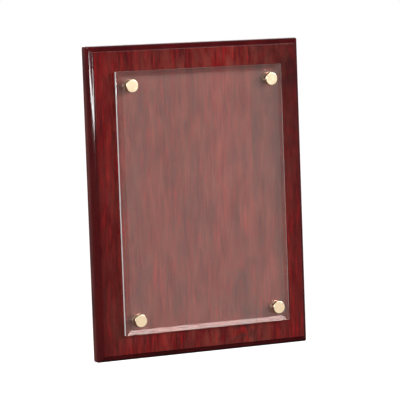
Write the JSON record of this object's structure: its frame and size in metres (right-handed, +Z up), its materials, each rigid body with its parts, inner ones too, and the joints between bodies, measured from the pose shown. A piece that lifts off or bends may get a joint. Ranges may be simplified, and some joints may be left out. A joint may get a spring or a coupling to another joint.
{
  "type": "wall plaque",
  "caption": "Upright rosewood wall plaque with a moulded edge and a bevelled glass panel held off its face by brass standoffs.",
  "frame": {"origin": "middle of the flat back face, which lies against the wall", "axes": "+Z up as the plaque hangs, +Y out of the back face into the wall, +X to the right as seen from the front"},
  "size_m": [0.2286, 0.0278, 0.3048],
  "materials": {
    "stained_core": "stained dark red-brown under gloss lacquer",
    "rosewood_main": "red rosewood veneer under high-gloss lacquer",
    "rosewood_side": "figured red rosewood veneer under high-gloss lacquer",
    "back_sheet": "dark balancing sheet, satin",
    "glass": "clear float glass, polished bevel and edges",
    "polished_brass": "polished and lacquered",
    "clear_bush": "clear natural nylon",
    "zinc_steel": "bright zinc plate",
    "hanger_steel": "pressed steel, zinc plated",
    "yellow_zinc": "yellow passivated zinc"
  },
  "bodies": {
    "plaque": {"board_core": "stained_core", "veneer_main": "rosewood_main", "veneer_side": "rosewood_side", "back_sheet": "back_sheet", "glass_panel": "glass", "bush_top_left": "clear_bush", "rear_washer_top_left": "clear_bush", "spacer_top_left": "polished_brass", "screw_washer_top_left": "zinc_steel", "screw_top_left": "zinc_steel", "bush_top_right": "clear_bush", "rear_washer_top_right": "clear_bush", "spacer_top_right": "polished_brass", "screw_washer_top_right": "zinc_steel", "screw_top_right": "zinc_steel", "bush_bottom_left": "clear_bush", "rear_washer_bottom_left": "clear_bush", "spacer_bottom_left": "polished_brass", "screw_washer_bottom_left": "zinc_steel", "screw_bottom_left": "zinc_steel", "bush_bottom_right": "clear_bush", "rear_washer_bottom_right": "clear_bush", "spacer_bottom_right": "polished_brass", "screw_washer_bottom_right": "zinc_steel", "screw_bottom_right": "zinc_steel", "hanger_plate_top": "hanger_steel", "hanger_screw_top_lower": "yellow_zinc", "hanger_screw_top_upper": "yellow_zinc", "hanger_plate_side": "hanger_steel", "hanger_screw_side_lower": "yellow_zinc", "hanger_screw_side_upper": "yellow_zinc"},
    "cap_nut_top_left": {"cap_top_left": "polished_brass"},
    "cap_nut_top_right": {"cap_top_right": "polished_brass"},
    "cap_nut_bottom_left": {"cap_bottom_left": "polished_brass"},
    "cap_nut_bottom_right": {"cap_bottom_right": "polished_brass"}
  },
  "joints": [
    {"name": "unscrew_top_left", "type": "hinge", "parent": "plaque", "child": "cap_nut_top_left", "pos_m": [-0.0749, -0.0238, 0.113], "axis": [0, -1, 0], "range_deg": [0, 1440]},
    {"name": "unscrew_top_right", "type": "hinge", "parent": "plaque", "child": "cap_nut_top_right", "pos_m": [0.0749, -0.0238, 0.113], "axis": [0, -1, 0], "range_deg": [0, 1440]},
    {"name": "unscrew_bottom_left", "type": "hinge", "parent": "plaque", "child": "cap_nut_bottom_left", "pos_m": [-0.0749, -0.0238, -0.113], "axis": [0, -1, 0], "range_deg": [0, 1440]},
    {"name": "unscrew_bottom_right", "type": "hinge", "parent": "plaque", "child": "cap_nut_bottom_right", "pos_m": [0.0749, -0.0238, -0.113], "axis": [0, -1, 0], "range_deg": [0, 1440]}
  ]
}
